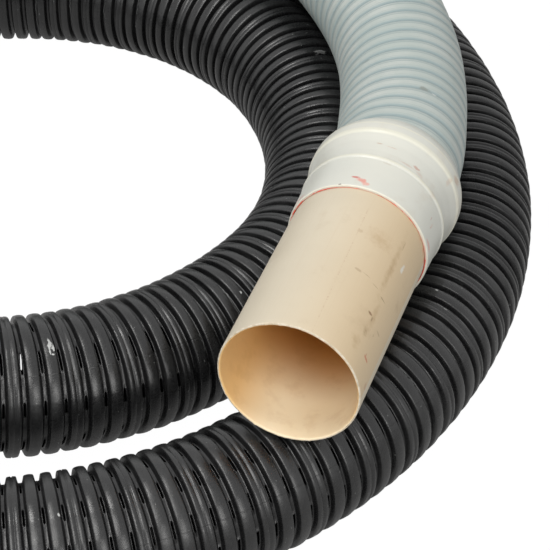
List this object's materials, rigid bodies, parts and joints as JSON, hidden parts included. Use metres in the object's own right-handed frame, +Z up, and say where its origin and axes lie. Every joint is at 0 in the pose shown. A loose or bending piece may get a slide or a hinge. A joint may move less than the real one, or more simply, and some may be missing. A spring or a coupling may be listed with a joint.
{
  "type": "vacuum hose",
  "caption": "Coiled vacuum hose line: slotted corrugated hose on the floor, spiral suction hose lying on it, swivel cuff and cemented stub pipe.",
  "frame": {"origin": "on the floor under the middle of the coil's bounding box", "axes": "+Z up from the floor, +Y along the swivel end away from its open mouth, +X towards the side the swivel end lies on, the longest way across the coil"},
  "size_m": [1.1722, 1.0616, 0.2348],
  "materials": {
    "black_plastic": "satin",
    "grey_plastic": "satin",
    "white_plastic": "satin",
    "ferrule_plastic": "matte",
    "beige_plastic": "satin",
    "red_cement": "satin",
    "rubber": "matte",
    "steel": "brushed"
  },
  "bodies": {
    "hose_line": {"black_hose": "black_plastic", "grey_hose": "grey_plastic", "swivel_ferrule": "ferrule_plastic", "coupling_sleeve": "rubber", "clamp_band_black": "steel", "clamp_band_grey": "steel", "clamp_screw_black": "steel", "clamp_screw_grey": "steel"},
    "swivel_end": {"cuff": "white_plastic", "cement_bead": "red_cement", "stub_pipe": "beige_plastic"}
  },
  "joints": [
    {"name": "cuff_swivel", "type": "hinge", "parent": "hose_line", "child": "swivel_end", "pos_m": [0.47257, -0.06905, 0.16941], "axis": [0, 0.9995, -0.0305], "continuous": true}
  ]
}
